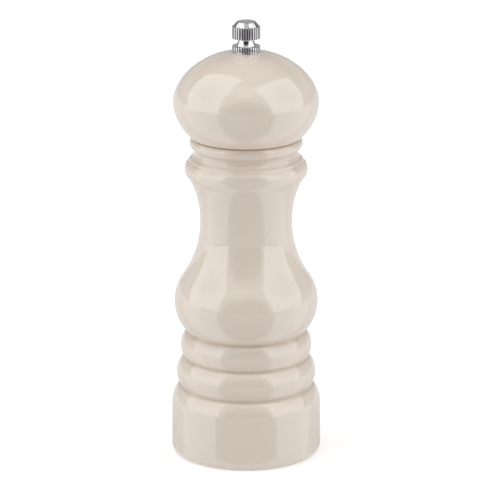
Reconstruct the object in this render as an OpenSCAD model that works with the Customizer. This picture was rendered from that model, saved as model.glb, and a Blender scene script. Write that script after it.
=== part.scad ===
// Pepper mill. A turned, lacquered body and head hold a burr mechanism that
// the head drives through a square spindle. The knob on top screws onto the
// spindle and sets the grind. Millimetres, +Z up, origin at the centre of the
// underside of the base.

/* [Base] */
// Radius of the straight base
base_r = 28; // [27.5:0.1:29]
// Rounding of the bottom edge
foot_arc = 2; // [1:0.1:3]
// Height where the base starts to round in
shoulder_z = 18.5; // [17:0.1:19]
// Rounding of the shoulder above the base
shoulder_arc = 11.5; // [11:0.1:13]
// Radius of the recess under the base
recess_r = 21; // [20:0.1:22]
// Depth of the recess under the base
recess_h = 10; // [9.5:0.1:11]

/* [Rings] */
// Radius at the bottom of the low groove
low_groove_r = 24.6; // [24:0.1:25]
// Height of the low groove
low_groove_z = 26.8; // [26.6:0.1:27]
// Largest radius of the low ring
low_ring_r = 26.15; // [26:0.05:26.5]
// Height of the low ring's widest line
low_ring_z = 30.8; // [30.5:0.1:31.2]
// Roundness of the low ring
low_ring_arc = 8.6; // [8.4:0.1:9.5]
// Radius at the bottom of the middle groove
mid_groove_r = 22.9; // [22.5:0.1:23.2]
// Height of the middle groove
mid_groove_z = 37.5; // [37.2:0.1:37.8]
// Largest radius of the high ring
high_ring_r = 24.6; // [24.4:0.1:25]
// Height of the high ring's widest line
high_ring_z = 41.4; // [41:0.1:42]
// Roundness of the high ring
high_ring_arc = 8.2; // [8:0.1:9]
// Radius at the bottom of the high groove
high_groove_r = 22; // [21.5:0.1:22.3]
// Height of the high groove
high_groove_z = 47.2; // [47:0.1:47.5]

/* [Belly and waist] */
// Largest radius of the belly
belly_r = 26.9; // [26.5:0.1:27.5]
// Height of the belly's widest line
belly_z = 58.6; // [58:0.1:59]
// Roundness of the belly
belly_arc = 16.2; // [15.5:0.1:17]
// Smallest radius of the waist
waist_r = 17.2; // [17:0.1:18]
// Height where the waist is first at its smallest
waist_z = 89; // [88:0.1:90]
// Height of the straight stretch in the waist
waist_flat = 1.3; // [0.5:0.1:2]
// Roundness of the cove between the waist and the neck
neck_cove_arc = 33; // [32:0.1:36]

/* [Neck] */
// Largest radius of the neck ring
neck_ring_r = 22.9; // [22.7:0.1:23.2]
// Height of the neck ring's widest line
neck_ring_z = 109.5; // [109.4:0.1:109.7]
// Roundness of the neck ring
neck_ring_arc = 4.5; // [4.4:0.1:4.7]
// Smallest radius of the cove above the neck ring
neck_groove_r = 19.3; // [19:0.1:19.5]
// Height of the cove above the neck ring
neck_groove_z = 116.3; // [116.2:0.1:116.4]
// Roundness of the cove above the neck ring
neck_groove_arc = 3; // [2.8:0.1:3.2]
// Largest radius of the bead at the top of the body
bead_r = 21; // [20.8:0.1:21.2]
// Height of the bead's widest line
bead_z = 119.5; // [119.4:0.1:119.6]
// Roundness of the bead
bead_arc = 2.6; // [2.5:0.1:2.7]
// Height of the joint between the body and the head
seam_z = 121.5; // [121.4:0.1:121.6]
// Radius of the head's lower edge at that joint
head_edge_r = 20.3; // [20:0.1:20.6]

/* [Head] */
// Largest radius of the head
head_r = 26.8; // [26:0.1:27.5]
// Height of the head's widest line
head_mid_z = 135.3; // [134.5:0.1:136]
// Height of the dome where it meets the axis
head_top_z = 153.9; // [153.8:0.1:153.9]
// Radius of the spigot that turns in the neck
spigot_r = 13.4; // [13:0.1:13.6]
// Length of the spigot below the head
spigot_h = 13.1; // [12:0.1:14]

/* [Knob] */
// Height of the underside of the knob
knob_z = 154; // [154:0.1:154.5]
// Radius of the fluted rims of the knob
knob_r = 5.3; // [5:0.1:6]
// Depth of the flutes
flute_depth = 0.35; // [0.2:0.05:0.45]
// Number of flutes
flute_count = 34; // [24:1:40]
// Height of the lower rim
rim_h = 2; // [1.5:0.1:2.2]
// Height of the slim neck between the rims
knob_neck_h = 2.8; // [2:0.1:3]
// Height of the upper, gripped rim
grip_h = 4.5; // [4.2:0.1:5.2]
// Height of the cone above the upper rim
knob_cone_h = 1.7; // [1.2:0.1:1.8]

/* [Mechanism] */
// Radius of the hopper bored through the body
hopper_r = 12.5; // [12:0.1:12.8]
// Radius of the burr housing's barrel
housing_r = 15.5; // [15.2:0.1:15.6]
// Side of the square spindle
spindle_side = 4.6; // [4.4:0.1:4.7]
// Radius of the spindle's threaded end
thread_r = 2; // [1.8:0.1:2.1]
// Grinding gap between the burrs, measured across
grind_gap = 0.4; // [0.35:0.05:0.6]
// Distance of the two bar screws from the axis
bar_screw_x = 17.4; // [17.3:0.1:17.6]
// Distance of the drive plate's screws from the axis
plate_screw_r = 8.5; // [8:0.1:9]

/* [Fits] */
// Radial clearance of a running fit
run_gap = 0.05; // [0.02:0.01:0.1]
// Clearance between flats that slide on the spindle
slide_gap = 0.05; // [0.03:0.01:0.1]

/* [Hidden] */
$fn = 96;
cut = 0.5;                    // how far a cutter runs past a face

lacquer = "#e4dacd";
steel = "#b9bcc0";
nylon = "#d9d7cf";
ceramic = "#f3f1ea";

// The tangent between the belly and the waist fixes the radius of the cove.
belly_axis_r = belly_r - belly_arc;
belly_to_waist_r = waist_r - belly_axis_r;
belly_to_waist_z = waist_z - belly_z;
waist_cove_arc = (pow(belly_to_waist_r, 2) + pow(belly_to_waist_z, 2) - pow(belly_arc, 2))
                 / (2 * (belly_arc - belly_to_waist_r));
belly_end_z = belly_z + belly_arc
              * sin(atan2(belly_to_waist_z, belly_to_waist_r + waist_cove_arc));

groove_land = 0.35;           // half the height of a turned groove
neck_corner_z = 105.75;       // where the waist's cove meets the neck ring
neck_ring_top_z = 113;
neck_step_z = 114;            // foot of the cove above the neck ring
neck_wall_z = 108;            // shelf that the neck bush stands on
neck_bush_r = 15;
neck_hole_r = spigot_r + run_gap;

housing_flange_h = 1.5;
housing_flange_r = 19.5;
bar_top_z = recess_h - housing_flange_h;
bar_t = 1.2;
bar_bottom_z = bar_top_z - bar_t;
housing_top_z = 35;
hub_z = 31;
hub_r = 6.3;
bush_r = 4.5;
stator_r = 13;
stator_top_z = 21.5;
throat_z = 15;                // height where the grinding ring starts
throat_r = 9.4;               // radius of the stator's throat
grind_slope = 1 / 3;          // how fast the grinding ring widens downwards
rotor_low_z = 12;
rotor_top_r = 6.4;
core_low_z = 11.1;
core_r = 5;                   // corner radius of the hexagonal core
clip_t = 0.7;
pivot_r = 2;
pivot_low_z = 6.2;
clip_groove_r = 1.5;
seat_z = 22;
washer_z = 29.8;
washer_t = 0.6;
square_top_z = 145.5;
spindle_top_z = 161.8;
screw_r = 1.4;
plate_screw_shank_r = 1;
plate_t = 1;
plate_r = 11.5;
spigot_low_z = seam_z - spigot_h;
head_hole_r = 3.8;
ferrule_r = 5;
ferrule_t = 0.8;
ferrule_hole_r = 2.3;

// Points on a round bulge whose widest line is r_max at z_mid, from z0 to z1.
function bulge(r_max, z_mid, arc, z0, z1, n = 10) =
    let (a0 = asin((z0 - z_mid) / arc), a1 = asin((z1 - z_mid) / arc))
    [for (i = [0:n]) let (a = a0 + (a1 - a0) * i / n)
        [r_max - arc + arc * cos(a), z_mid + arc * sin(a)]];

// Points on a round hollow whose narrowest line is r_min at z_mid.
function hollow(r_min, z_mid, arc, z0, z1, n = 10) =
    let (a0 = asin((z0 - z_mid) / arc), a1 = asin((z1 - z_mid) / arc))
    [for (i = [0:n]) let (a = a0 + (a1 - a0) * i / n)
        [r_min + arc - arc * cos(a), z_mid + arc * sin(a)]];

// Points on a cubic curve with end points p0 and p3.
function curve(p0, p1, p2, p3, n = 20) =
    [for (i = [0:n]) let (t = i / n)
        pow(1 - t, 3) * p0 + 3 * pow(1 - t, 2) * t * p1 + 3 * (1 - t) * t * t * p2
        + t * t * t * p3];

function body_outline() = concat(
    [for (i = [0:5]) let (a = 90 * i / 5)
        [base_r - foot_arc + foot_arc * sin(a), foot_arc - foot_arc * cos(a)]],
    bulge(base_r, shoulder_z, shoulder_arc, shoulder_z, low_groove_z - groove_land, 7),
    [[low_groove_r, low_groove_z]],
    bulge(low_ring_r, low_ring_z, low_ring_arc,
          low_groove_z + groove_land, mid_groove_z - groove_land),
    [[mid_groove_r, mid_groove_z]],
    bulge(high_ring_r, high_ring_z, high_ring_arc,
          mid_groove_z + groove_land, high_groove_z - groove_land),
    [[high_groove_r, high_groove_z]],
    bulge(belly_r, belly_z, belly_arc, high_groove_z + groove_land, belly_end_z, 16),
    [for (i = [1:14]) hollow(waist_r, waist_z, waist_cove_arc, belly_end_z, waist_z, 14)[i]],
    hollow(waist_r, waist_z + waist_flat, neck_cove_arc,
           waist_z + waist_flat, neck_corner_z, 10),
    [for (i = [1:12]) bulge(neck_ring_r, neck_ring_z, neck_ring_arc,
                            neck_corner_z, neck_ring_top_z, 12)[i]],
    hollow(neck_groove_r, neck_groove_z, neck_groove_arc,
           neck_step_z, neck_groove_z + 0.5, 7),
    bulge(bead_r, bead_z, bead_arc, neck_groove_z + 0.9, seam_z, 8));

module body() {
    color(lacquer)
    difference() {
        rotate_extrude()
            polygon(concat(body_outline(), [
                [neck_bush_r, seam_z], [neck_bush_r, neck_wall_z],
                [hopper_r, neck_wall_z], [hopper_r, housing_top_z],
                [housing_r, housing_top_z], [housing_r, recess_h],
                [recess_r, recess_h], [recess_r, 0]]));
        bar_screw_holes(recess_h - cut, 11.5 + cut);
    }
}

module neck_bush() {
    color(nylon)
    translate([0, 0, neck_wall_z])
    difference() {
        cylinder(r = neck_bush_r, h = seam_z - neck_wall_z);
        translate([0, 0, -cut])
            cylinder(r = neck_hole_r, h = seam_z - neck_wall_z + 2 * cut);
    }
}

// Two upright holes for the bar's screws.
module bar_screw_holes(z, h) {
    for (side = [-1, 1])
        translate([side * bar_screw_x, 0, z])
            cylinder(r = screw_r, h = h);
}

// Three keys between the stator and its housing.
module stator_keys(r_inner) {
    for (a = [60, 180, 300])
        rotate(a)
            translate([r_inner, -1.5, bar_top_z])
                cube([14.2 - r_inner, 3, 5]);
}

module burr_housing() {
    spoke_w = 2.4;
    color(nylon)
    difference() {
        union() {
            rotate_extrude()
                polygon([
                    [stator_r, bar_top_z], [housing_flange_r, bar_top_z],
                    [housing_flange_r, recess_h], [housing_r, recess_h],
                    [housing_r, housing_top_z], [hopper_r, housing_top_z],
                    [hopper_r, stator_top_z + 1.5], [11.6, stator_top_z + 1.5],
                    [11.6, stator_top_z], [stator_r, stator_top_z]]);
            translate([0, 0, hub_z])
                cylinder(r = hub_r, h = housing_top_z - hub_z);
            for (a = [90, 210, 330])
                rotate(a)
                    translate([bush_r + 1, -spoke_w / 2, hub_z])
                        cube([hopper_r - bush_r - 0.5, spoke_w, housing_top_z - hub_z]);
        }
        translate([0, 0, hub_z - cut])
            cylinder(r = bush_r + run_gap, h = housing_top_z - hub_z + 2 * cut);
        bar_screw_holes(bar_top_z - cut, housing_flange_h + 2 * cut);
        stator_keys(stator_r - cut);
    }
}

module stator_burr() {
    tooth_count = 12;
    fine_count = 24;
    color(ceramic)
    difference() {
        union() {
            rotate_extrude()
                polygon([
                    [stator_r, bar_top_z], [stator_r, stator_top_z],
                    [11.4, stator_top_z], [throat_r, throat_z],
                    [throat_r + (throat_z - bar_top_z) * grind_slope, bar_top_z]]);
            stator_keys(stator_r - cut);
        }
        for (i = [0:tooth_count - 1])
            rotate(360 * i / tooth_count)
                translate([10.4, 0, 18.5])
                    rotate([-28, 16, 0])
                        cube([1.6, 1.3, 9], center = true);
        for (i = [0:fine_count - 1])
            rotate(360 * (i + 0.5) / fine_count)
                translate([10.55, 0, 11.5])
                    rotate([-12, -18.4, 0])
                        rotate(45)
                            cube([0.8, 0.8, 7.4], center = true);
    }
}

module retaining_bar() {
    bar_w = 8;
    color(steel)
    translate([0, 0, bar_bottom_z])
    difference() {
        union() {
            intersection() {
                translate([-housing_flange_r - cut, -bar_w / 2, 0])
                    cube([2 * housing_flange_r + 2 * cut, bar_w, bar_t]);
                cylinder(r = housing_flange_r, h = bar_t);
            }
            cylinder(r = 6.5, h = bar_t);
        }
        translate([0, 0, -cut])
            cylinder(r = 3.5, h = bar_t + 2 * cut);
        bar_screw_holes(-cut, bar_t + 2 * cut);
    }
}

// Pan-head screw with a cross recess, pointing up from its head's seat at z = 0.
module screw(shank_r, head_r, head_h, shank_h) {
    slot_w = head_r * 0.32;
    difference() {
        union() {
            cylinder(r = shank_r, h = shank_h - shank_r);
            translate([0, 0, shank_h - shank_r])
                cylinder(r1 = shank_r, r2 = 0.2, h = shank_r);
            translate([0, 0, -0.4 * head_h])
                cylinder(r = head_r, h = 0.4 * head_h);
            translate([0, 0, -head_h])
                cylinder(r1 = 0.72 * head_r, r2 = head_r, h = 0.6 * head_h);
        }
        for (a = [0, 90])
            rotate(a)
                translate([-0.55 * head_r, -slot_w / 2, -head_h - cut])
                    cube([1.1 * head_r, slot_w, cut + 0.55 * head_h]);
    }
}

module retaining_bar_screws() {
    color(steel)
    for (side = [-1, 1])
        translate([side * bar_screw_x, 0, bar_bottom_z])
            screw(screw_r, 2.6, 1.4, 13.5);
}

module bar_bush() {
    color(nylon)
    difference() {
        union() {
            translate([0, 0, bar_bottom_z - 0.8])
                cylinder(r = 4.6, h = 0.8);
            translate([0, 0, bar_bottom_z])
                cylinder(r = 3.5, h = bar_t + 0.4);
        }
        translate([0, 0, bar_bottom_z - 0.8 - cut])
            cylinder(r = pivot_r + run_gap, h = bar_t + 1.2 + 2 * cut);
    }
}

// Square hole that slides on the spindle.
module spindle_hole(z, h, gap = slide_gap) {
    side = spindle_side + 2 * gap;
    translate([-side / 2, -side / 2, z])
        cube([side, side, h]);
}

module guide_bush() {
    color(nylon)
    difference() {
        union() {
            translate([0, 0, hub_z - washer_t])
                cylinder(r = 5.8, h = washer_t);
            translate([0, 0, hub_z])
                cylinder(r = bush_r, h = housing_top_z - hub_z + 0.4);
        }
        spindle_hole(hub_z - washer_t - cut, housing_top_z - hub_z + 2 + 2 * cut);
    }
}

module thrust_washer() {
    color(steel)
    translate([0, 0, washer_z])
    difference() {
        cylinder(r = 5.6, h = washer_t);
        translate([0, 0, -cut])
            cylinder(r = 3.4, h = washer_t + 2 * cut);
    }
}

spring_wire_r = 0.35;
spring_r = 4.2;
spring_low_z = seat_z + 0.5;
spring_turns = 5.5;
spring_steps = 16;            // rings in one turn
spring_sides = 8;
closed_pitch = 2.15 * spring_wire_r;
open_pitch = (washer_z - spring_low_z - 2 * spring_wire_r - 2 * closed_pitch)
             / (spring_turns - 2);

// Height of the wire's centre after so many turns: one closed turn at each end.
function wire_z(t) = spring_low_z + spring_wire_r
    + closed_pitch * min(t, 1)
    + open_pitch * min(max(t - 1, 0), spring_turns - 2)
    + closed_pitch * max(t - spring_turns + 1, 0);

module spring() {
    rings = spring_turns * spring_steps;
    points = [for (i = [0:rings], k = [0:spring_sides - 1])
        let (a = 360 * i / spring_steps, b = 360 * k / spring_sides,
             r = spring_r + spring_wire_r * cos(b))
        [r * cos(a), r * sin(a), wire_z(i / spring_steps) + spring_wire_r * sin(b)]];
    sides = [for (i = [0:rings - 1], k = [0:spring_sides - 1])
        let (m = (k + 1) % spring_sides, p = i * spring_sides)
        [p + k, p + m, p + spring_sides + m, p + spring_sides + k]];
    ends = [[for (k = [spring_sides - 1:-1:0]) k],
            [for (k = [0:spring_sides - 1]) rings * spring_sides + k]];
    color(steel)
        polyhedron(points, concat(sides, ends));
}

module spindle() {
    color(steel)
    difference() {
        union() {
            translate([0, 0, pivot_low_z])
                cylinder(r = pivot_r, h = core_low_z - pivot_low_z);
            translate([-spindle_side / 2, -spindle_side / 2, core_low_z])
                cube([spindle_side, spindle_side, square_top_z - core_low_z]);
            translate([0, 0, square_top_z])
                cylinder(r = thread_r, h = spindle_top_z - square_top_z - 0.5);
            translate([0, 0, spindle_top_z - 0.5])
                cylinder(r1 = thread_r, r2 = thread_r - 0.5, h = 0.5);
        }
        translate([0, 0, core_low_z - clip_t])
            difference() {
                cylinder(r = pivot_r + cut, h = clip_t);
                translate([0, 0, -cut])
                    cylinder(r = clip_groove_r, h = clip_t + 2 * cut);
            }
    }
}

module rotor_core() {
    color(nylon)
    difference() {
        union() {
            translate([0, 0, core_low_z])
                cylinder(r = 7, h = rotor_low_z - core_low_z);
            translate([0, 0, core_low_z])
                cylinder(r = core_r, h = seat_z - core_low_z, $fn = 6);
        }
        spindle_hole(core_low_z - cut, seat_z - core_low_z + 2 * cut);
    }
}

module rotor_burr() {
    tooth_count = 8;
    fine_count = 20;
    rotor_throat_r = throat_r - grind_gap;
    color(ceramic)
    difference() {
        rotate_extrude()
            polygon([
                [0, rotor_low_z],
                [rotor_throat_r + (throat_z - rotor_low_z) * grind_slope, rotor_low_z],
                [rotor_throat_r, throat_z], [rotor_top_r, stator_top_z],
                [0, stator_top_z]]);
        translate([0, 0, rotor_low_z - cut])
            cylinder(r = core_r, h = stator_top_z - rotor_low_z + 2 * cut, $fn = 6);
        for (i = [0:tooth_count - 1])
            rotate(360 * i / tooth_count)
                translate([8.1, 0, 18.5])
                    rotate([28, -20, 0])
                        cube([2, 1.7, 9], center = true);
        for (i = [0:fine_count - 1])
            rotate(360 * (i + 0.5) / fine_count)
                translate([9.5, 0, 13.5])
                    rotate([12, -18.4, 0])
                        rotate(45)
                            cube([0.7, 0.7, 4.4], center = true);
    }
}

module rotor_clip() {
    clip_r = 4.2;
    mouth = 2.6;
    color(steel)
    translate([0, 0, core_low_z - clip_t])
    difference() {
        cylinder(r = clip_r, h = clip_t);
        translate([0, 0, -cut])
            cylinder(r = clip_groove_r, h = clip_t + 2 * cut);
        translate([-mouth / 2, 0, -cut])
            cube([mouth, clip_r + cut, clip_t + 2 * cut]);
    }
}

module spring_seat() {
    color(steel)
    rotate_extrude()
        polygon([[3.4, seat_z], [5.4, seat_z], [5.4, seat_z + 1.2], [5, seat_z + 1.2],
                 [5, spring_low_z], [3.4, spring_low_z]]);
}

function head_outline() = concat(
    curve([head_edge_r, seam_z], [head_edge_r + 3.1, seam_z + 3],
          [head_r, head_mid_z - 6.3], [head_r, head_mid_z], 16),
    [for (i = [1:22]) curve([head_r, head_mid_z], [head_r, head_mid_z + 6.6],
                            [18.3, head_top_z], [0, head_top_z], 22)[i]]);

module head() {
    color(lacquer)
    difference() {
        rotate_extrude()
            polygon(concat([[0, spigot_low_z], [spigot_r, spigot_low_z], [spigot_r, seam_z]],
                           head_outline()));
        translate([0, 0, spigot_low_z - cut])
            cylinder(r = head_hole_r, h = head_top_z - spigot_low_z + 2 * cut);
        translate([0, 0, knob_z - ferrule_t])
            cylinder(r = ferrule_r, h = ferrule_t + cut);
        plate_screw_holes(spigot_low_z - cut, 8 + cut);
    }
}

module head_ferrule() {
    color(steel)
    rotate_extrude()
        polygon([[ferrule_hole_r, 146.2], [head_hole_r, 146.2],
                 [head_hole_r, knob_z - ferrule_t], [ferrule_r, knob_z - ferrule_t],
                 [ferrule_r, knob_z], [ferrule_hole_r, knob_z]]);
}

// Three upright holes for the drive plate's screws.
module plate_screw_holes(z, h) {
    for (a = [90, 210, 330])
        rotate(a)
            translate([plate_screw_r, 0, z])
                cylinder(r = plate_screw_shank_r, h = h);
}

module drive_plate() {
    plate_z = spigot_low_z - plate_t;
    color(steel)
    difference() {
        translate([0, 0, plate_z])
            cylinder(r = plate_r, h = plate_t);
        spindle_hole(plate_z - cut, plate_t + 2 * cut, 2 * slide_gap);
        plate_screw_holes(plate_z - cut, plate_t + 2 * cut);
    }
}

module drive_plate_screws() {
    color(steel)
    for (a = [90, 210, 330])
        rotate(a)
            translate([plate_screw_r, 0, spigot_low_z - plate_t])
                screw(plate_screw_shank_r, 1.9, 1.2, 8.5);
}

// Fluted disc of the knob: flat lands with a straight V between each pair.
module fluted_disc(h) {
    step = 360 / flute_count;
    linear_extrude(h)
        polygon([for (i = [0:flute_count - 1], k = [0:2])
            let (a = step * (i + [-0.3, 0, 0.3][k]), r = k == 1 ? knob_r - flute_depth : knob_r)
            [r * cos(a), r * sin(a)]]);
}

module knob() {
    neck_z = knob_z + rim_h;
    grip_z = neck_z + knob_neck_h;
    cone_z = grip_z + grip_h;
    cone_r = knob_r - flute_depth - 0.15;
    color("silver")
    difference() {
        union() {
            translate([0, 0, knob_z])
                fluted_disc(rim_h);
            translate([0, 0, neck_z])
                cylinder(r1 = 3.7, r2 = 3, h = knob_neck_h);
            translate([0, 0, grip_z])
                fluted_disc(grip_h);
            translate([0, 0, cone_z])
                cylinder(r1 = cone_r, r2 = 3.5, h = knob_cone_h);
        }
        translate([0, 0, knob_z - cut])
            cylinder(r = thread_r + run_gap, h = spindle_top_z + 1.5 - knob_z + cut);
    }
}

body();
neck_bush();
burr_housing();
stator_burr();
retaining_bar();
retaining_bar_screws();
bar_bush();
guide_bush();
thrust_washer();
spring();
spindle();
rotor_core();
rotor_burr();
rotor_clip();
spring_seat();
head();
head_ferrule();
drive_plate();
drive_plate_screws();
knob();
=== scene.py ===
import math

import bmesh
import bpy
import numpy as np
from mathutils import Matrix, Vector


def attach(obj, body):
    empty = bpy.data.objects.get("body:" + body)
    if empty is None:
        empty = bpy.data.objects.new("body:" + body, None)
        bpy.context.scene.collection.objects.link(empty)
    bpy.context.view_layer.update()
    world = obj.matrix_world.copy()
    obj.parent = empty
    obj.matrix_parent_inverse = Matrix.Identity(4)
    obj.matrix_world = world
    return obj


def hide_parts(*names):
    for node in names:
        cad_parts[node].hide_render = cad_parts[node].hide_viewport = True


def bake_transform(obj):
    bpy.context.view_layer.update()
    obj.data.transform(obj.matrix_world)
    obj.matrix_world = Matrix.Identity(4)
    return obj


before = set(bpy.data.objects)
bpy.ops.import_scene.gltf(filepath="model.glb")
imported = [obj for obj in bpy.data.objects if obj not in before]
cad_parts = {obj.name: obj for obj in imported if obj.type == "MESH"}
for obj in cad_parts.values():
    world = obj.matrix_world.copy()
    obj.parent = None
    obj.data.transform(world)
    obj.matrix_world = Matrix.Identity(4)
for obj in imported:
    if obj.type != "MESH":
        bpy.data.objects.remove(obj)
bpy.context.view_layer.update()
MM = 0.001

# ---------------------------------------------------------------- sizes
# In millimetres, as the frame has them. R is a radius from the mill's axis, Z a height above
# the table, and ARC the radius of a rounding. A pair or triple lists them in that order.

BASE_R, FOOT_ARC = 28.0, 2.0
SHOULDER_Z, SHOULDER_ARC = 18.5, 11.5
RECESS_R, RECESS_H, RECESS_CHAMFER = 21.0, 10.0, 0.4
GROOVES = [(24.3, 26.0), (22.6, 37.2), (21.7, 47.2)]
RINGS = [(26.15, 30.8, 8.6), (24.6, 41.4, 8.2)]
GROOVE_HALF = 0.35
BELLY_R, BELLY_Z, BELLY_ARC = 26.9, 58.6, 16.2
WAIST_R, WAIST_Z, WAIST_FLAT = 17.2, 89.0, 1.3
NECK_COVE_ARC, NECK_CORNER_Z = 33.0, 105.75
NECK_RING_R, NECK_RING_Z, NECK_RING_ARC, NECK_RING_TOP_Z = 22.9, 109.5, 4.5, 112.3
NECK_STEP_Z = 113.8
NECK_RIDGE_R, NECK_RIDGE_Z, NECK_RIDGE_ARC = 21.2, 113.2, 0.6
NECK_GROOVE_R, NECK_GROOVE_Z, NECK_GROOVE_ARC = 19.3, 116.3, 3.0
BEAD_R, BEAD_Z, BEAD_ARC = 21.0, 119.5, 2.6
# The seam between body and head is a narrow gap, cut in from the bead.
SEAM_R, SEAM_Z = BEAD_R - 0.93, 121.5
SEAM_LOW_Z, SEAM_HIGH_Z = SEAM_Z - 0.04, SEAM_Z + 0.05
NECK_BUSH_R, NECK_WALL_Z = 15.0, 108.0
HOPPER_R, HOUSING_R, HOUSING_TOP_Z = 12.5, 15.5, 35.0

# How far the lacquer rounds a place further: its height, half its width and the reach.
EASED = [(GROOVES[0][1], 2.2, 0.7), (GROOVES[1][1], 2.2, 0.9), (GROOVES[2][1], 1.6, 0.75),
         (NECK_CORNER_Z, 3.0, 1.3), (SHOULDER_Z, 2.0, 1.0), (NECK_RIDGE_Z, 1.7, 0.45)]

HEAD_EDGE_R, HEAD_R, HEAD_MID_Z, HEAD_TOP_Z = 20.3, 26.98, 135.3, 154.05
# The control points of the two curves of the head, below and above its widest line.
HEAD_LOWER = [(HEAD_EDGE_R, SEAM_Z), (HEAD_EDGE_R + 3.1, SEAM_Z + 3),
              (HEAD_R, HEAD_MID_Z - 6.3), (HEAD_R, HEAD_MID_Z)]
HEAD_DOME = [(HEAD_R, HEAD_MID_Z), (HEAD_R, HEAD_MID_Z + 6.6),
             (18.3, HEAD_TOP_Z), (0, HEAD_TOP_Z)]
SPIGOT_R, SPIGOT_LOW_Z, SPIGOT_CHAMFER, HEAD_HOLE_R = 13.4, 108.4, 0.3, 3.8
FERRULE_R, FERRULE_SEAT_Z = 5.0, 153.2

KNOB_Z, KNOB_R, FLUTE_DEPTH, FLUTE_COUNT = 154.0, 5.3, 0.35, 34
KNOB_RIM_Z, KNOB_GRIP_Z, KNOB_CONE_Z, KNOB_TOP_Z = 156.0, 158.8, 163.3, 165.0
KNOB_FLARE_R, KNOB_WAIST_R, KNOB_WAIST_Z = 3.8, 2.93, 158.1
# The control points of the two curves of the knob's neck, below and above its waist.
KNOB_NECK_LOW = [(KNOB_FLARE_R, KNOB_RIM_Z), (KNOB_FLARE_R - 0.35, KNOB_RIM_Z + 0.65),
                 (KNOB_WAIST_R + 0.12, KNOB_RIM_Z + 1.4), (KNOB_WAIST_R, KNOB_WAIST_Z)]
KNOB_NECK_HIGH = [(KNOB_WAIST_R, KNOB_WAIST_Z + 0.05),
                  (KNOB_WAIST_R - 0.03, KNOB_GRIP_Z - 0.4),
                  (KNOB_WAIST_R + 0.07, KNOB_GRIP_Z - 0.1), (KNOB_WAIST_R + 0.42, KNOB_GRIP_Z)]
KNOB_CONE_R, KNOB_TOP_R, KNOB_EDGE = 5.0, 3.5, 0.12
KNOB_BORE_R, KNOB_BORE_TOP_Z = 2.05, 163.3

SPINDLE_HALF, SPINDLE_CORNER = 2.3, 0.25
PIVOT_LOW_Z, PIVOT_R, CLIP_LOW_Z, CLIP_GROOVE_R, SQUARE_LOW_Z = 6.2, 2.0, 10.4, 1.5, 11.1
SQUARE_TOP_Z, SPINDLE_TOP_Z = 145.2, 161.8
THREAD_R, THREAD_DEPTH, THREAD_PITCH = 1.96, 0.36, 0.7
THREAD_START_Z, THREAD_RUN_IN, THREAD_RUN_OUT = SQUARE_TOP_Z + 0.4, 0.8, 0.7

SPRING_R, WIRE_R, SPRING_LOW_Z, SPRING_HIGH_Z, SPRING_TURNS = 4.2, 0.35, 22.5, 29.8, 5.5

# ---------------------------------------------------------------- camera

CAMERA_PLACE = (0.00143, -1.146, 0.411)
CAMERA_DOWN = 16.21
CAMERA_LENS = 230.0


def added(name, data):
    """A new object in the scene."""
    thing = bpy.data.objects.new(name, data)
    bpy.context.scene.collection.objects.link(thing)
    return thing


def make_camera():
    """It stands in front of the mill and looks down at it by CAMERA_DOWN degrees."""
    data = bpy.data.cameras.new("camera")
    data.lens = CAMERA_LENS
    data.sensor_width = 36
    data.clip_start = 0.01
    camera = added("camera", data)
    camera.location = CAMERA_PLACE
    camera.rotation_euler = (math.radians(90 - CAMERA_DOWN), 0, 0)
    bpy.context.scene.camera = camera


# ---------------------------------------------------------------- outlines
# All outlines are lists of (radius, height) in millimetres.


def bulge(r_max, z_mid, arc, z0, z1, n=24):
    """A round bulge whose widest line is r_max at z_mid, from height z0 to z1."""
    a0, a1 = math.asin((z0 - z_mid) / arc), math.asin((z1 - z_mid) / arc)
    angles = [a0 + (a1 - a0) * i / n for i in range(n + 1)]
    return [(r_max - arc + arc * math.cos(a), z_mid + arc * math.sin(a)) for a in angles]


def hollow(r_min, z_mid, arc, z0, z1, n=24):
    """A round hollow whose narrowest line is r_min at z_mid."""
    a0, a1 = math.asin((z0 - z_mid) / arc), math.asin((z1 - z_mid) / arc)
    angles = [a0 + (a1 - a0) * i / n for i in range(n + 1)]
    return [(r_min + arc - arc * math.cos(a), z_mid + arc * math.sin(a)) for a in angles]


def curve(p0, p1, p2, p3, n=60):
    """A cubic curve with end points p0 and p3."""
    points = []
    for i in range(n + 1):
        t = i / n
        w = ((1 - t) ** 3, 3 * (1 - t) ** 2 * t, 3 * (1 - t) * t * t, t ** 3)
        points.append(tuple(sum(k * p[j] for k, p in zip(w, (p0, p1, p2, p3))) for j in (0, 1)))
    return points


def evenly(points, step):
    """The same line with points a step apart."""
    p = np.array(points, float)
    run = np.concatenate([[0], np.cumsum(np.hypot(*np.diff(p, axis=0).T))])
    keep = np.concatenate([[True], np.diff(run) > 1e-9])
    p, run = p[keep], run[keep]
    at = np.linspace(0, run[-1], max(2, int(run[-1] / step) + 1))
    return np.stack([np.interp(at, run, p[:, 0]), np.interp(at, run, p[:, 1])], 1)


def soften(points, reach, step=0.05):
    """Rounds every corner over about reach millimetres, as a coat of lacquer does."""
    p = evenly(points, step)
    for _ in range(int((reach / step) ** 2)):
        p[1:-1] = 0.25 * p[:-2] + 0.5 * p[1:-1] + 0.25 * p[2:]
    return p


def ease(points, spots, step=0.05):
    """Rounds a line further at some places, each given by height, half width and reach."""
    p = evenly(points, step)
    for z, half, reach in spots:
        near = np.flatnonzero(np.abs(p[:, 1] - z) < half)
        near = near[(near > 0) & (near < len(p) - 1)]
        for _ in range(int((reach / step) ** 2)):
            p[near] = 0.25 * p[near - 1] + 0.5 * p[near] + 0.25 * p[near + 1]
    return [tuple(q) for q in p]


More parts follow.
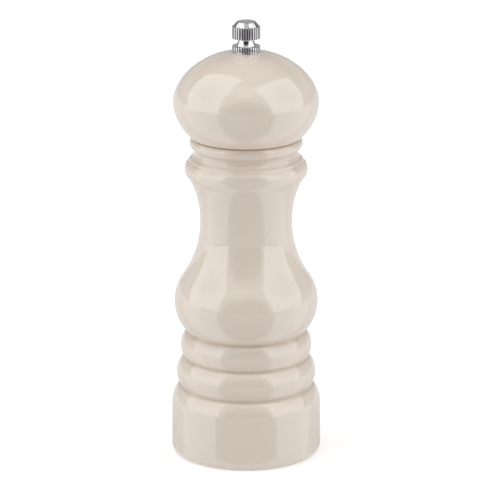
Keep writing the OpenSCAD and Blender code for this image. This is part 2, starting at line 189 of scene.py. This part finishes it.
def thin(points, turn=2.5, longest=1.6, shortest=0.04):
    """Keeps points only where the line has turned by some degrees or run on for a while."""
    kept = [points[0]]
    heading = None
    for here, after in zip(points[1:-1], points[2:]):
        now = math.atan2(after[1] - here[1], after[0] - here[0])
        if heading is None:
            heading = now
        far = math.dist(here, kept[-1])
        swing = abs((now - heading + math.pi) % (2 * math.pi) - math.pi)
        if far >= longest or (swing >= math.radians(turn) and far > shortest):
            kept.append(here)
            heading = now
    kept.append(points[-1])
    return [tuple(float(x) for x in p) for p in kept]


def lacquered(points, reach=0.2):
    """A turned line under lacquer: softened, then thinned to the points it needs."""
    return thin(soften(points, reach))


def body_outside():
    """From the inner edge of the foot, up the outside, to the inner edge of the seam."""
    foot = [(BASE_R - FOOT_ARC + FOOT_ARC * math.sin(math.radians(a)),
             FOOT_ARC - FOOT_ARC * math.cos(math.radians(a))) for a in range(0, 91, 10)]
    (low_r, low_z), (mid_r, mid_z), (high_r, high_z) = GROOVES
    to_waist_r, to_waist_z = WAIST_R - (BELLY_R - BELLY_ARC), WAIST_Z - BELLY_Z
    waist_arc = ((to_waist_r ** 2 + to_waist_z ** 2 - BELLY_ARC ** 2)
                 / (2 * (BELLY_ARC - to_waist_r)))
    belly_end = BELLY_Z + BELLY_ARC * math.sin(math.atan2(to_waist_z, to_waist_r + waist_arc))
    line = [(RECESS_R + RECESS_CHAMFER, 0)] + foot
    line += bulge(BASE_R, SHOULDER_Z, SHOULDER_ARC, SHOULDER_Z, low_z - GROOVE_HALF)
    line += [(low_r, low_z)]
    line += bulge(*RINGS[0], low_z + GROOVE_HALF, mid_z - GROOVE_HALF)
    line += [(mid_r, mid_z)]
    line += bulge(*RINGS[1], mid_z + GROOVE_HALF, high_z - GROOVE_HALF)
    line += [(high_r, high_z)]
    line += bulge(BELLY_R, BELLY_Z, BELLY_ARC, high_z + GROOVE_HALF, belly_end, 48)
    line += hollow(WAIST_R, WAIST_Z, waist_arc, belly_end, WAIST_Z, 48)
    line += hollow(WAIST_R, WAIST_Z + WAIST_FLAT, NECK_COVE_ARC,
                   WAIST_Z + WAIST_FLAT, NECK_CORNER_Z)
    line += bulge(NECK_RING_R, NECK_RING_Z, NECK_RING_ARC, NECK_CORNER_Z, NECK_RING_TOP_Z)
    line += [(NECK_RIDGE_R + 0.1, NECK_RIDGE_Z - 0.45)]
    line += bulge(NECK_RIDGE_R, NECK_RIDGE_Z, NECK_RIDGE_ARC,
                  NECK_RIDGE_Z - 0.3, NECK_RIDGE_Z + 0.5, 8)
    line += hollow(NECK_GROOVE_R, NECK_GROOVE_Z, NECK_GROOVE_ARC,
                   NECK_STEP_Z, NECK_GROOVE_Z + 0.5)
    line += bulge(BEAD_R, BEAD_Z, BEAD_ARC, NECK_GROOVE_Z + 0.9, SEAM_Z - 0.35)
    line += [(SEAM_R, SEAM_LOW_Z)]
    return ease(line, EASED)


def body_inside():
    """The bare wood, from the inner edge of the seam down through the bores to the foot."""
    return [
        (NECK_BUSH_R, SEAM_LOW_Z), (NECK_BUSH_R, NECK_WALL_Z), (HOPPER_R, NECK_WALL_Z),
        (HOPPER_R, HOUSING_TOP_Z), (HOUSING_R, HOUSING_TOP_Z), (HOUSING_R, RECESS_H),
        (RECESS_R, RECESS_H), (RECESS_R, RECESS_CHAMFER)]


def head_outside():
    """From the inner edge of the seam, up over the dome, to the ferrule's recess."""
    lower = [p for p in curve(*HEAD_LOWER) if p[1] > SEAM_Z + 0.3]
    dome = [tuple(p) for p in evenly(curve(*HEAD_DOME), 0.1) if p[0] > FERRULE_R + 0.15]
    rim_z = dome[-1][1] - 0.15
    return ([(SEAM_R, SEAM_HIGH_Z)] + lower + dome
            + [(FERRULE_R, rim_z), (FERRULE_R, FERRULE_SEAT_Z)])


def head_inside():
    """The bare wood, from the ferrule's recess down the hole and out round the spigot."""
    return [
        (HEAD_HOLE_R, FERRULE_SEAT_Z),
        (HEAD_HOLE_R, SPIGOT_LOW_Z), (SPIGOT_R - SPIGOT_CHAMFER, SPIGOT_LOW_Z),
        (SPIGOT_R, SPIGOT_LOW_Z + SPIGOT_CHAMFER), (SPIGOT_R, SEAM_HIGH_Z)]


def knob_outline():
    """From the end of the bore, down to its mouth, and up the outside to the top."""
    e = KNOB_EDGE
    line = [
        (0, KNOB_BORE_TOP_Z), (KNOB_BORE_R, KNOB_BORE_TOP_Z), (KNOB_BORE_R, KNOB_Z + e),
        (KNOB_BORE_R + e, KNOB_Z), (KNOB_R - e, KNOB_Z), (KNOB_R, KNOB_Z + e),
        (KNOB_R, KNOB_RIM_Z - e), (KNOB_R - e, KNOB_RIM_Z)]
    line += curve(*KNOB_NECK_LOW, 12) + curve(*KNOB_NECK_HIGH, 8)
    return line + [
        (KNOB_R - e, KNOB_GRIP_Z), (KNOB_R, KNOB_GRIP_Z + e),
        (KNOB_R, KNOB_CONE_Z - 0.05), (KNOB_CONE_R, KNOB_CONE_Z + 0.05),
        (KNOB_TOP_R, KNOB_TOP_Z), (0, KNOB_TOP_Z)]


# ---------------------------------------------------------------- meshes


def new_mesh(name, points, faces, materials):
    """A mesh from points in millimetres."""
    mesh = bpy.data.meshes.new(name)
    mesh.from_pydata((np.array(points) * MM).tolist(), [], faces)
    for material in materials:
        mesh.materials.append(material)
    return mesh


def smooth(mesh, sharp):
    """Shades a mesh smooth, but for edges that turn by more than some degrees."""
    mesh.shade_smooth()
    mesh.set_sharp_from_angle(angle=math.radians(sharp))


def new_piece(name, points, faces, body, replaced, materials, face_slots=None, sharp=32):
    """A piece that rides on a body and stands for a CAD node."""
    mesh = new_mesh(name, points, faces, materials)
    if face_slots is not None:
        mesh.polygons.foreach_set("material_index", face_slots)
    work = bmesh.new()
    work.from_mesh(mesh)
    bmesh.ops.remove_doubles(work, verts=work.verts, dist=1e-7)
    bmesh.ops.recalc_face_normals(work, faces=work.faces)
    work.to_mesh(mesh)
    work.free()
    smooth(mesh, sharp)
    piece = added(name, mesh)
    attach(piece, body)
    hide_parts(replaced)
    return piece


def point_values(piece, name, values):
    """Stores one number for each point of a piece, for its material to read."""
    attribute = piece.data.attributes.new(name, "FLOAT", "POINT")
    attribute.data.foreach_set("value", values)


def ring_faces(rows, columns, closed=False):
    """Quads between rows of columns points each. A closed grid joins its last row to its first."""
    faces = []
    for i in range(rows if closed else rows - 1):
        j = (i + 1) % rows
        for k in range(columns):
            m = (k + 1) % columns
            faces.append((i * columns + k, i * columns + m, j * columns + m, j * columns + k))
    return faces


def painted_hollow_shade(line):
    """Painted shade at each point of a closed line: 0 on flats and bulges, more in hollows, 1 in
    the seam.
    """
    reach, full_turn, most, seam_half = 0.6, 1.2, 0.18, 0.28
    p = np.array(line)
    before, after = p - np.roll(p, 1, 0), np.roll(p, -1, 0) - p
    turn = np.arctan2(before[:, 0] * after[:, 1] - before[:, 1] * after[:, 0],
                      (before * after).sum(1))
    run = np.cumsum(np.hypot(*before.T))
    near = np.exp(-((run[:, None] - run[None, :]) / reach) ** 2)
    # Painted shade: inward turns of the line, spread over reach, darken the lacquer by up to most,
    # and the seam fully.
    shade_in_hollow = most * np.clip((near @ np.clip(-turn, 0, None)) / full_turn, 0, 1)
    shade_in_seam = np.exp(-((p[:, 1] - SEAM_Z) / seam_half) ** 2) * (p[:, 0] < BEAD_R - 0.45)
    return np.clip(shade_in_hollow + shade_in_seam, 0, 1)


def turned(name, outside, inside, body, replaced, materials, segments=192):
    """A turned piece: the outside line is lacquered, the inside line is bare wood."""
    line = list(outside) + list(inside)
    rows = len(line)
    angles = [2 * math.pi * k / segments for k in range(segments)]
    points = [(r * math.cos(a), r * math.sin(a), z) for r, z in line for a in angles]
    face_slots = [int(i >= len(outside) - 1) for i in range(rows) for _ in range(segments)]
    piece = new_piece(name, points, ring_faces(rows, segments, closed=True), body,
                      replaced, materials, face_slots)
    # Painted shade: the groove value darkens and warms the lacquer in hollows and the seam.
    point_values(piece, "groove", np.repeat(painted_hollow_shade(line), segments).astype(np.float32))


def fluted_knob(material):
    """The knob: its outline turned, with a V flute between each pair of lands."""
    per_flute, flute_half = 10, 0.3
    columns = FLUTE_COUNT * per_flute
    points = []
    for r, z in thin(soften(knob_outline(), 0.07, 0.02), turn=12, longest=1.0):
        for k in range(columns):
            share = abs((k / per_flute + 0.5) % 1 - 0.5)
            dip = FLUTE_DEPTH * max(0, 1 - share / flute_half)
            a = 2 * math.pi * k / columns
            reach = min(r, KNOB_R - dip)
            points.append((reach * math.cos(a), reach * math.sin(a), z))
    faces = ring_faces(len(points) // columns, columns)
    piece = new_piece("fluted_knob", points, faces, "knob", "knob", [material], sharp=25)
    # Painted shade: how deep a point lies in a flute, for the chrome to darken it by.
    point_values(piece, "flute", [
        min(1.0, max(0.0, (KNOB_R - math.hypot(v.co.x, v.co.y) / MM) / FLUTE_DEPTH))
        if on_band(v.co.z / MM) else 0.0 for v in piece.data.vertices])


def on_band(z):
    """Whether a height is on one of the knob's two fluted bands."""
    return KNOB_Z + 0.1 < z < KNOB_RIM_Z - 0.1 or KNOB_GRIP_Z + 0.1 < z < KNOB_CONE_Z - 0.1


def square_reach(a):
    """How far the rounded square bar reaches from its axis in direction a."""
    a = abs((a + math.pi / 4) % (math.pi / 2) - math.pi / 4)
    k = SPINDLE_HALF - SPINDLE_CORNER
    if SPINDLE_HALF * math.tan(a) <= k:
        return SPINDLE_HALF / math.cos(a)
    b = k * (math.cos(a) + math.sin(a))
    return b + math.sqrt(b * b - 2 * k * k + SPINDLE_CORNER ** 2)


def thread_reach(a, z):
    """How far the thread reaches from the axis in direction a at height z."""
    phase = (z / THREAD_PITCH - a / (2 * math.pi)) % 1
    ridge = min(1, 1.25 * (1 - abs(2 * phase - 1)))
    start = min(1, max(0, (z - THREAD_START_Z) / THREAD_RUN_IN))
    end = min(1, max(0, (SPINDLE_TOP_Z - z) / THREAD_RUN_OUT))
    return THREAD_R - THREAD_DEPTH * (1 - ridge * start * end)


def threaded_spindle(material):
    """The spindle: a round pivot with the clip's groove, a square bar and a screw thread."""
    quadrant = [-45, -44, -43, -41.7, -36, -27, -18, -9, 0, 9, 18, 27, 36, 41.7, 43, 44]
    angles = [math.radians(a + 90 * q) for q in range(4) for a in quadrant]
    rows = [[(0, PIVOT_LOW_Z)] * len(angles)]
    for r, z in [(PIVOT_R - 0.25, PIVOT_LOW_Z), (PIVOT_R, PIVOT_LOW_Z + 0.25),
                 (PIVOT_R, CLIP_LOW_Z), (CLIP_GROOVE_R, CLIP_LOW_Z),
                 (CLIP_GROOVE_R, SQUARE_LOW_Z)]:
        rows.append([(r, z)] * len(angles))
    for shrink, z in [(0.12, SQUARE_LOW_Z), (0, SQUARE_LOW_Z + 0.12),
                      (0, SQUARE_TOP_Z - 0.25), (0.25, SQUARE_TOP_Z)]:
        rows.append([(square_reach(a) - shrink, z) for a in angles])
    steps = 12
    count = int((SPINDLE_TOP_Z - SQUARE_TOP_Z) / THREAD_PITCH * steps)
    for i in range(count + 1):
        z = SQUARE_TOP_Z + (SPINDLE_TOP_Z - SQUARE_TOP_Z) * i / count
        rows.append([(thread_reach(a, z), z) for a in angles])
    rows.append([(0, SPINDLE_TOP_Z)] * len(angles))
    points = [(r * math.cos(a), r * math.sin(a), z)
              for row in rows for (r, z), a in zip(row, angles)]
    faces = ring_faces(len(rows), len(angles))
    new_piece("threaded_spindle", points, faces, "grinder", "spindle",
              [material], sharp=24)


def coil_spring(material):
    """The spring: round wire with a closed turn at each end, ground flat where it bears."""
    per_turn, sides, closed = 48, 12, 2.15 * WIRE_R
    open_pitch = ((SPRING_HIGH_Z - SPRING_LOW_Z - 2 * WIRE_R - 2 * closed)
                  / (SPRING_TURNS - 2))
    rings = int(SPRING_TURNS * per_turn)
    points = []
    for i in range(rings + 1):
        t = i / per_turn
        a = 2 * math.pi * t
        middle = (SPRING_LOW_Z + 0.8 * WIRE_R + closed * min(t, 1)
                  + open_pitch * min(max(t - 1, 0), SPRING_TURNS - 2)
                  + closed * max(t - SPRING_TURNS + 1, 0))
        for k in range(sides):
            b = 2 * math.pi * k / sides
            r = SPRING_R + WIRE_R * math.cos(b)
            z = min(max(middle + WIRE_R * math.sin(b), SPRING_LOW_Z), SPRING_HIGH_Z)
            points.append((r * math.cos(a), r * math.sin(a), z))
    faces = ring_faces(rings + 1, sides)
    faces.append(tuple(range(sides - 1, -1, -1)))
    faces.append(tuple(rings * sides + k for k in range(sides)))
    mesh = new_mesh("coil_spring", points, faces, [material])
    smooth(mesh, 50)
    piece = added("coil_spring", mesh)
    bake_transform(piece)
    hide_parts("spring")


def dress(node, material, edge=0):
    """A CAD node keeps its shape and gets its finish. Its edges are rounded by edge mm."""
    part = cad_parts[node]
    for material_slot in part.material_slots:
        material_slot.link = "OBJECT"
        material_slot.material = material
    if not edge:
        return
    weld = part.modifiers.new("weld", "WELD")
    weld.merge_threshold = 2e-6
    bevel = part.modifiers.new("broken_edges", "BEVEL")
    bevel.width = edge * MM
    bevel.segments = 2
    bevel.limit_method = "ANGLE"
    bevel.angle_limit = math.radians(40)
    bevel.harden_normals = True


# ---------------------------------------------------------------- materials


class Nodes:
    """A node tree, with short ways to add to it."""

    def __init__(self, tree):
        self.tree = tree

    def new(self, kind, **settings):
        """A new node with these settings."""
        node = self.tree.nodes.new(kind)
        for key, value in settings.items():
            setattr(node, key, value)
        return node

    def link(self, source, target):
        """Feeds an output into an input."""
        self.tree.links.new(source, target)

    def ramp(self, value, low, high, start=0.0, end=1.0, **settings):
        """The value's range from start to end, laid out from low to high."""
        node = self.new("ShaderNodeMapRange", **settings)
        for socket, number in zip(("From Min", "From Max", "To Min", "To Max"),
                                  (start, end, low, high)):
            node.inputs[socket].default_value = number
        self.link(value, node.inputs["Value"])
        return node.outputs["Result"]

    def product(self, first, second):
        """One value times another."""
        node = self.new("ShaderNodeMath", operation="MULTIPLY")
        self.link(first, node.inputs[0])
        self.link(second, node.inputs[1])
        return node.outputs["Value"]


class Shader(Nodes):
    """A material's nodes, with the few steps that the finishes here are made from."""

    def __init__(self, name, **fixed):
        self.material = bpy.data.materials.new(name)
        self.material.use_nodes = True
        super().__init__(self.material.node_tree)
        self.surface = self.tree.nodes["Principled BSDF"]
        for socket, value in fixed.items():
            self.surface.inputs[socket.replace("_", " ")].default_value = value
        self.place = self.new("ShaderNodeTexCoord").outputs["Object"]

    def noise(self, scale, detail=3.0, rough=0.5, stretch=(1, 1, 1)):
        """A noise that stays with the piece. A low stretch draws it out along that axis."""
        mapping = self.new("ShaderNodeMapping")
        mapping.inputs["Scale"].default_value = stretch
        self.link(self.place, mapping.inputs["Vector"])
        noise = self.new("ShaderNodeTexNoise")
        noise.inputs["Scale"].default_value = scale
        noise.inputs["Detail"].default_value = detail
        noise.inputs["Roughness"].default_value = rough
        self.link(mapping.outputs["Vector"], noise.inputs["Vector"])
        return noise.outputs["Fac"]

    def stored(self, name):
        """A number that point_values stored with the piece."""
        return self.new("ShaderNodeAttribute", attribute_name=name).outputs["Fac"]

    def mix(self, share, first, second):
        """A colour between two, each a colour or another node's output."""
        node = self.new("ShaderNodeMix", data_type="RGBA")
        self.link(share, node.inputs["Factor"])
        colour_inputs = [s for s in node.inputs if s.type == "RGBA"]
        for socket, colour in zip(colour_inputs, (first, second)):
            if isinstance(colour, tuple):
                socket.default_value = (*colour, 1)
            else:
                self.link(colour, socket)
        return [s for s in node.outputs if s.type == "RGBA"][0]

    def add(self, first, second, share=1.0):
        """The first value and a share of the second."""
        node = self.new("ShaderNodeMath", operation="MULTIPLY_ADD")
        node.inputs[1].default_value = share
        self.link(second, node.inputs[0])
        self.link(first, node.inputs[2])
        return node.outputs["Value"]

    def bump(self, height, depth_mm, sockets=("Normal",)):
        """Makes the surface uneven by about depth_mm."""
        node = self.new("ShaderNodeBump")
        node.inputs["Distance"].default_value = depth_mm * MM
        self.link(height, node.inputs["Height"])
        for socket in sockets:
            self.link(node.outputs["Normal"], self.surface.inputs[socket])

    def colour(self, output):
        """Gives the surface its colour."""
        self.link(output, self.surface.inputs["Base Color"])

    def roughness(self, output):
        """Gives the surface its roughness."""
        self.link(output, self.surface.inputs["Roughness"])


# The range that most of a noise's values are in.
NOISE_RANGE = 0.3, 0.7

CREAM = (0.585, 0.511, 0.440)
CREAM_LIGHT = (0.600, 0.527, 0.457)
# Painted shade: the colour the lacquer takes in hollows and in the seam.
CREAM_PAINTED_SHADE = (0.60, 0.41, 0.27)


def lacquer():
    """Cream gloss lacquer: even, faintly mottled, with painted shade, darker and warmer, in
    grooves and the seam.
    """
    s = Shader("cream_lacquer", Coat_Weight=1.0, Coat_Roughness=0.015, Coat_IOR=1.7,
               Specular_IOR_Level=0.08)
    mottle = s.ramp(s.noise(45, 4, 0.55), 0, 1, *NOISE_RANGE)
    tone = s.mix(mottle, CREAM, CREAM_LIGHT)
    # Painted shade: hollows and the seam get the darker, warmer colour.
    s.colour(s.mix(s.stored("groove"), tone, CREAM_PAINTED_SHADE))
    s.roughness(s.ramp(s.noise(130, 5, 0.6), 0.09, 0.17, *NOISE_RANGE))
    waves = s.add(s.noise(260, 2, 0.4), s.noise(900, 2, 0.5), 0.25)
    s.bump(waves, 0.004, sockets=("Normal", "Coat Normal"))
    return s.material


def bare_wood():
    """Unfinished beech: straight grain along the mill, darker flecks and open pores."""
    dark, light, pore = (0.40, 0.235, 0.125), (0.60, 0.40, 0.235), (0.24, 0.13, 0.07)
    s = Shader("bare_beech", IOR=1.45)
    grain = s.noise(60, 6, 0.6, (3.2, 3.2, 0.16))
    tone = s.mix(s.ramp(grain, 0, 1, 0.32, 0.68), dark, light)
    pores = s.noise(900, 2, 0.5, (1, 1, 0.09))
    s.colour(s.mix(s.ramp(pores, 0.55, 0, 0.28, 0.42), tone, pore))
    s.roughness(s.ramp(grain, 0.55, 0.78, *NOISE_RANGE))
    s.bump(s.add(s.ramp(pores, 0, 1, 0.25, 0.5), grain, 0.5), 0.06)
    return s.material


def chrome():
    """Chrome plate: bright, with hair-fine handling scratches, a trace of haze and painted shade
    in the flutes.
    """
    dull, bright, flute_shade = (0.58, 0.58, 0.59), (0.68, 0.68, 0.69), (0.07, 0.07, 0.07)
    s = Shader("chrome_plate", Metallic=1.0)
    haze = s.noise(420, 5, 0.6)
    tone = s.mix(s.ramp(haze, 0, 1, *NOISE_RANGE), dull, bright)
    # Painted shade: the flute valleys are darkened nearly to black.
    s.colour(s.mix(s.ramp(s.stored("flute"), 0, 1, 0.25, 0.9), tone, flute_shade))
    s.roughness(s.ramp(haze, 0.05, 0.12, *NOISE_RANGE))
    s.bump(s.noise(2600, 3, 0.6, (1, 1, 0.12)), 0.0012)
    return s.material


def plated_steel(name, dark, light, roughness, stretch):
    """Rolled or drawn steel under a thin zinc plate, with its working direction in the grain."""
    s = Shader(name, Metallic=1.0)
    grain = s.noise(1400, 5, 0.65, stretch)
    cloud = s.noise(160, 3, 0.5)
    s.colour(s.mix(s.ramp(cloud, 0, 1, *NOISE_RANGE), dark, light))
    s.roughness(s.ramp(s.add(grain, cloud, 0.5), *roughness, 0.5, 1.0))
    s.bump(grain, 0.006)
    return s.material


def nylon():
    """Natural moulded nylon: off-white, slightly milky, with a fine spark-eroded texture."""
    dark, light = (0.66, 0.63, 0.56), (0.74, 0.72, 0.66)
    s = Shader("natural_nylon", Subsurface_Weight=0.25, Subsurface_Scale=0.0015,
               Subsurface_Radius=(1.0, 0.9, 0.75), IOR=1.53)
    flow = s.noise(110, 4, 0.55)
    s.colour(s.mix(s.ramp(flow, 0, 1, *NOISE_RANGE), dark, light))
    s.roughness(s.ramp(flow, 0.36, 0.5, *NOISE_RANGE))
    s.bump(s.noise(3200, 2, 0.5), 0.008)
    return s.material


def ceramic():
    """Sintered ceramic: chalk white, matt, grainy, with pepper dust caught in its pores."""
    chalk, pepper = (0.80, 0.78, 0.73), (0.45, 0.38, 0.30)
    s = Shader("burr_ceramic", IOR=1.6)
    dust = s.noise(2400, 6, 0.7)
    s.colour(s.mix(s.ramp(dust, 0.7, 0, 0.32, 0.46), chalk, pepper))
    s.roughness(s.ramp(dust, 0.62, 0.42, *NOISE_RANGE))
    s.bump(s.noise(2600, 4, 0.6), 0.02)
    return s.material


# ---------------------------------------------------------------- stage
# Places here are in metres, and directions are unit vectors.

# Three corners of each panel light: the lower inner, the lower outer and the upper inner one.
LEFT_CORNERS = (-1.42, -1.50, -0.05), (-3.55, 0.66, -0.11), (-0.12, -0.15, 3.00)
RIGHT_CORNERS = (1.98, -2.18, 0.02), (3.38, 0.26, -0.33), (0.58, -1.00, 2.74)
LEFT_WATTS, RIGHT_WATTS = 42, 36

FLOOR_REACH, FLOOR_DARK, FLOOR_LIGHT = 14.0, (0.59, 0.59, 0.59), (0.61, 0.61, 0.61)
# The floor glows a little, more from GLOW_NEAR to GLOW_FAR away from the mill.
GLOW_NEAR, GLOW_FAR, GLOW_LOW, GLOW_HIGH = 0.7, 3.0, 0.42, 0.6

# The cards: two that lie just over the floor, and a low arc in front of the mill.
CARD_LIFT = 0.002
FRONT_CORNERS = [(-0.018, -0.031), (0.018, -0.031), (1.15, -1.1), (1.15, -4),
                 (-1.15, -4), (-1.15, -1.1)]
FRONT_TONE = (0.34, 0.318, 0.332)
BACK_CORNERS = [(0.0282, -0.014), (-0.0282, -0.014), (-4, 2), (-4, 6), (4, 6), (4, 2)]
BACK_TONE = (0.60, 0.60, 0.60)
HORIZON_R, HORIZON_H, HORIZON_DEGREES = 1.3, 0.05, 80
HORIZON_TONE = (0.4, 0.4, 0.4)

# How bright the room is in front of the mill, beside it, behind it, and what its top adds.
ROOM_FRONT, ROOM_SIDE, ROOM_BACK, ROOM_TOP = 0.95, 0.42, 0.45, 0.9
TOP_Z = 0.7, 0.95
# The dark place where the camera stands: its direction, and the cosines of its core and edge.
DARK_TOWARD, DARK_CORE, DARK_EDGE, DARK_LEVEL = (0, -0.996, 0.087), 0.88, 0.72, 0.05
# Gloss sees the room dimmed beyond these directions, away from the camera and up.
DIM_Y, DIM_Z, DIM_LEVEL = (-0.55, -0.15), (0.3, 0.5), 0.3


def softbox(name, inner_low, outer_low, inner_high, watts):
    """A flat panel light given by three of its corners. It isn't seen, only its reflection is."""
    corner, along, upward = (Vector(p) for p in (inner_low, outer_low, inner_high))
    along, upward = along - corner, upward - corner
    x = along.normalized()
    y = (upward - x * upward.dot(x)).normalized()
    middle = corner + along / 2 + y * upward.dot(y) / 2
    if x.cross(y).dot(middle) < 0:
        x = -x
    turn = Matrix((x, y, x.cross(y))).transposed().to_4x4()
    data = bpy.data.lights.new(name, "AREA")
    data.shape = "RECTANGLE"
    data.size, data.size_y = along.length, upward.dot(y)
    data.energy = watts
    lamp = added(name, data)
    lamp.matrix_world = Matrix.Translation(middle) @ turn
    lamp.visible_camera = False


def stage_mesh(name, points, faces, material):
    """A mesh object from points in metres."""
    mesh = bpy.data.meshes.new(name)
    mesh.from_pydata(points, [], faces)
    mesh.materials.append(material)
    return added(name, mesh)


def make_floor():
    """A wide white floor."""
    s = Shader("white_floor", Roughness=0.6, Specular_IOR_Level=0.2,
               Emission_Color=(1, 1, 1, 1))
    away = s.new("ShaderNodeVectorMath", operation="LENGTH")
    s.link(s.place, away.inputs[0])
    s.link(s.ramp(away.outputs["Value"], GLOW_LOW, GLOW_HIGH, GLOW_NEAR, GLOW_FAR),
           s.surface.inputs["Emission Strength"])
    s.colour(s.mix(s.noise(3, 2), FLOOR_DARK, FLOOR_LIGHT))
    reach = FLOOR_REACH
    floor = stage_mesh("floor", [(-reach, -reach, 0), (reach, -reach, 0), (reach, reach, 0),
                                 (-reach, reach, 0)], [(0, 1, 2, 3)], s.material)


def on_floor(corners):
    """One face lying just over the floor."""
    return [(x, y, CARD_LIFT) for x, y in corners], [tuple(range(len(corners)))]


def low_wall(radius, height, degrees, steps=24):
    """A wall that stands in an arc in front of the mill, some degrees to each side."""
    bearings = [math.radians(degrees * k / steps) for k in range(-steps, steps + 1)]
    arc = [(radius * math.sin(a), -radius * math.cos(a)) for a in bearings]
    points = [(x, y, z) for z in (0.0, height) for x, y in arc]
    return points, [(k, k + 1, k + 1 + len(arc), k + len(arc)) for k in range(len(arc) - 1)]


def dark_card(name, shape, tone):
    """A dark card. It only tones down what gloss and chrome reflect."""
    s = Shader(name, Roughness=0.9, Specular_IOR_Level=0.0)
    s.colour(s.mix(s.noise(3, 2), tone, tuple(1.08 * c for c in tone)))
    card = stage_mesh(name, *shape, s.material)
    card.visible_camera = card.visible_diffuse = card.visible_shadow = False


def make_world():
    """A white backdrop. Reflections see a lit room instead, dark where the camera stands."""
    world = bpy.data.worlds.new("studio")
    bpy.context.scene.world = world
    world.use_nodes = True
    n = Nodes(world.node_tree)
    n.tree.nodes.clear()
    ray = n.new("ShaderNodeLightPath")
    place = n.new("ShaderNodeTexCoord").outputs["Generated"]
    split = n.new("ShaderNodeSeparateXYZ")
    n.link(place, split.inputs[0])
    y, z = split.outputs["Y"], split.outputs["Z"]

    depth = n.new("ShaderNodeValToRGB")
    stops = depth.color_ramp.elements
    stops[0].position, stops[0].color = 0.0, (ROOM_FRONT,) * 3 + (1,)
    stops[1].position, stops[1].color = 1.0, (ROOM_BACK,) * 3 + (1,)
    for position, level in ((0.25, 0.8 * ROOM_FRONT), (0.5, ROOM_SIDE)):
        stop = stops.new(position)
        stop.color = (level,) * 3 + (1,)
    n.link(n.ramp(y, 0, 1, start=-1), depth.inputs["Fac"])
    top = n.ramp(z, 0, ROOM_TOP, *TOP_Z, interpolation_type="SMOOTHSTEP")
    room = n.new("ShaderNodeVectorMath", operation="ADD")
    n.link(depth.outputs["Color"], room.inputs[0])
    n.link(top, room.inputs[1])

    toward = n.new("ShaderNodeVectorMath", operation="DOT_PRODUCT")
    toward.inputs[1].default_value = DARK_TOWARD
    n.link(place, toward.inputs[0])
    dark = n.ramp(toward.outputs["Value"], 1, DARK_LEVEL, DARK_EDGE, DARK_CORE,
                  interpolation_type="SMOOTHSTEP")
    far_and_high = n.product(n.ramp(y, 0, 1, *DIM_Y), n.ramp(z, 0, 1, *DIM_Z))
    dim = n.ramp(n.product(far_and_high, ray.outputs["Is Glossy Ray"]), 1, DIM_LEVEL)

    seen, lent = (n.new("ShaderNodeBackground") for _ in range(2))
    seen.inputs["Color"].default_value = (1, 1, 1, 1)
    n.link(room.outputs["Vector"], lent.inputs["Color"])
    n.link(n.product(dark, dim), lent.inputs["Strength"])
    either = n.new("ShaderNodeMixShader")
    n.link(ray.outputs["Is Camera Ray"], either.inputs[0])
    n.link(lent.outputs[0], either.inputs[1])
    n.link(seen.outputs[0], either.inputs[2])
    n.link(either.outputs[0], n.new("ShaderNodeOutputWorld").inputs["Surface"])


# ---------------------------------------------------------------- the mill

make_camera()
make_floor()
dark_card("front_card", on_floor(FRONT_CORNERS), FRONT_TONE)
dark_card("back_card", on_floor(BACK_CORNERS), BACK_TONE)
dark_card("horizon_card", low_wall(HORIZON_R, HORIZON_H, HORIZON_DEGREES), HORIZON_TONE)
make_world()
softbox("left_softbox", *LEFT_CORNERS, LEFT_WATTS)
softbox("right_softbox", *RIGHT_CORNERS, RIGHT_WATTS)

cream, wood, mirror = lacquer(), bare_wood(), chrome()
sheet_steel = plated_steel("zinc_plated_sheet", (0.46, 0.47, 0.49), (0.60, 0.61, 0.62),
                           (0.24, 0.42), (1, 0.08, 1))
rod_steel = plated_steel("drawn_steel", (0.42, 0.43, 0.45), (0.56, 0.57, 0.58),
                         (0.20, 0.36), (1, 1, 0.04))
screw_steel = plated_steel("screw_steel", (0.44, 0.45, 0.46), (0.62, 0.62, 0.62),
                           (0.22, 0.40), (1, 1, 1))
spring_steel = plated_steel("spring_wire", (0.26, 0.26, 0.27), (0.40, 0.40, 0.41),
                            (0.22, 0.38), (1, 1, 0.3))
plastic, stone = nylon(), ceramic()

turned("lacquered_body", lacquered(body_outside()), body_inside(), "base", "body",
       [cream, wood])
turned("lacquered_head", lacquered(head_outside()), head_inside(), "top", "head",
       [cream, wood])
fluted_knob(mirror)
threaded_spindle(rod_steel)
coil_spring(spring_steel)

for node in ("neck_bush", "bar_bush", "guide_bush", "rotor_core"):
    dress(node, plastic, 0.12)
dress("rotor_burr", stone, 0.06)
# These two have edges too short to be rounded.
dress("burr_housing", plastic)
dress("stator_burr", stone)
for node in ("retaining_bar", "thrust_washer", "rotor_clip", "spring_seat", "drive_plate",
             "head_ferrule"):
    dress(node, sheet_steel, 0.08)
for node in ("retaining_bar_screws", "drive_plate_screws"):
    dress(node, screw_steel, 0.05)

bpy.context.scene.view_settings.view_transform = "Standard"
